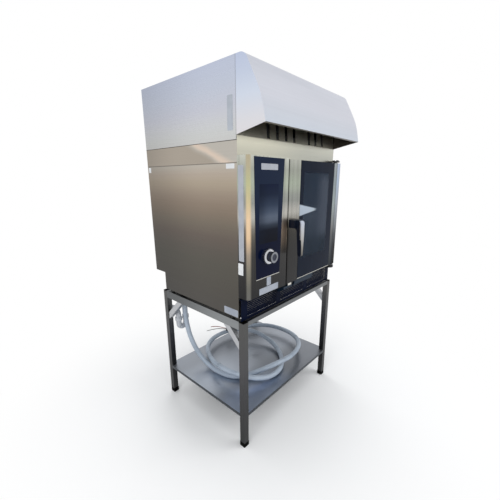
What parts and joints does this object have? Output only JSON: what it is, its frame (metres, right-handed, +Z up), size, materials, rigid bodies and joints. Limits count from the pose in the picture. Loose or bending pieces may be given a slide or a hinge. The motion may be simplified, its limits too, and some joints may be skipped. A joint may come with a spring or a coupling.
{
  "type": "combi oven",
  "caption": "Compact combi steam oven with a side console, a glazed swing door and a curved extraction hood, on an open tube stand.",
  "frame": {"origin": "centre of the bounding box's base, on the floor under the stand", "axes": "+Z up, +Y towards the back, +X towards the right seen from the front, metres"},
  "size_m": [0.66, 0.673, 1.438],
  "materials": {
    "stand_steel": "satin",
    "shelf_steel": "satin",
    "black_plastic": "matte",
    "rubber_black": "matte",
    "casing_steel": "brushed",
    "plinth_black": "satin",
    "console_steel": "brushed",
    "panel_blue": "gloss",
    "electronics": "satin",
    "chrome_trim": "polished",
    "knob_grey": "matte",
    "cavity_steel": "satin",
    "mineral_wool": "matte",
    "pipe_grey": "matte",
    "motor_aluminium": "satin",
    "element_steel": "satin",
    "boiler_steel": "satin",
    "inlet_brass": "satin",
    "door_steel": "brushed",
    "outer_pane": "gloss",
    "inner_pane": "gloss",
    "hinge_iron": "satin",
    "handle_black": "satin",
    "handle_inlay": "brushed",
    "latch_steel": "satin",
    "hood_steel": "brushed",
    "canopy_steel": "brushed",
    "filter_steel": "satin",
    "fan_aluminium": "satin",
    "conduit_grey": "matte"
  },
  "bodies": {
    "oven_body": {"stand_legs": "stand_steel", "stand_rails": "stand_steel", "stand_braces": "stand_steel", "stand_shelf": "shelf_steel", "stand_end_caps": "black_plastic", "drip_tray": "black_plastic", "hinge_covers": "black_plastic", "conduit_gland": "black_plastic", "conduit_end": "black_plastic", "oven_feet": "rubber_black", "door_gasket": "rubber_black", "base_pan": "casing_steel", "left_side_panel": "casing_steel", "right_side_panel": "casing_steel", "rear_cover": "casing_steel", "top_panel": "casing_steel", "front_frame": "casing_steel", "plinth_grille": "plinth_black", "console_housing": "console_steel", "control_glass": "panel_blue", "display_module": "electronics", "control_board": "electronics", "dial_encoder": "electronics", "power_module": "electronics", "dial_bezel": "chrome_trim", "cavity_liner": "cavity_steel", "drain_strainer": "cavity_steel", "air_baffle": "cavity_steel", "hanging_racks": "cavity_steel", "cavity_insulation": "mineral_wool", "drain_pipe": "pipe_grey", "drain_trap": "pipe_grey", "fan_motor": "motor_aluminium", "hood_fan_motor": "motor_aluminium", "heating_elements": "element_steel", "boiler": "boiler_steel", "water_inlets": "inlet_brass", "hinge_brackets": "hinge_iron", "latch_catch": "latch_steel", "hood_spacer": "hood_steel", "hood_casing": "hood_steel", "hood_fascia": "hood_steel", "hood_canopy": "canopy_steel", "hood_filter": "filter_steel", "conduit_drop": "conduit_grey", "conduit_loops": "conduit_grey"},
    "door": {"door_left_profile": "door_steel", "door_right_profile": "door_steel", "door_frame": "door_steel", "outer_glass": "outer_pane", "inner_glass": "inner_pane", "door_hinge_blocks": "hinge_iron"},
    "handle": {"handle_lever": "handle_black", "handle_strip": "handle_inlay", "latch_spindle": "latch_steel"},
    "dial_plunger": {"encoder_plunger": "electronics"},
    "dial": {"dial_knob": "knob_grey", "dial_ring": "chrome_trim"},
    "cavity_fan": {"fan_wheel": "cavity_steel"},
    "hood_impeller": {"hood_fan": "fan_aluminium"}
  },
  "joints": [
    {"name": "door_hinge", "type": "hinge", "parent": "oven_body", "child": "door", "pos_m": [0.3045, -0.2445, 0.9065], "axis": [0, 0, 1], "range_deg": [0, 180]},
    {"name": "handle_turn", "type": "hinge", "parent": "door", "child": "handle", "pos_m": [-0.069, -0.2675, 0.909], "axis": [0, 1, 0], "range_deg": [-90, 90]},
    {"name": "dial_press", "type": "slide", "parent": "oven_body", "child": "dial_plunger", "axis": [0, 1, 0], "range_m": [0, 0.0015], "stiffness_N_per_m": 1500, "springref_m": -0.001},
    {"name": "dial_turn", "type": "hinge", "parent": "dial_plunger", "child": "dial", "pos_m": [-0.222, -0.2785, 0.805], "axis": [0, 1, 0], "continuous": true},
    {"name": "cavity_fan_spin", "type": "hinge", "parent": "oven_body", "child": "cavity_fan", "pos_m": [-0.12, -0.0085, 0.897], "axis": [1, 0, 0], "continuous": true},
    {"name": "hood_fan_spin", "type": "hinge", "parent": "oven_body", "child": "hood_impeller", "pos_m": [0.15, 0.1015, 1.335], "axis": [0, 0, 1], "continuous": true}
  ]
}
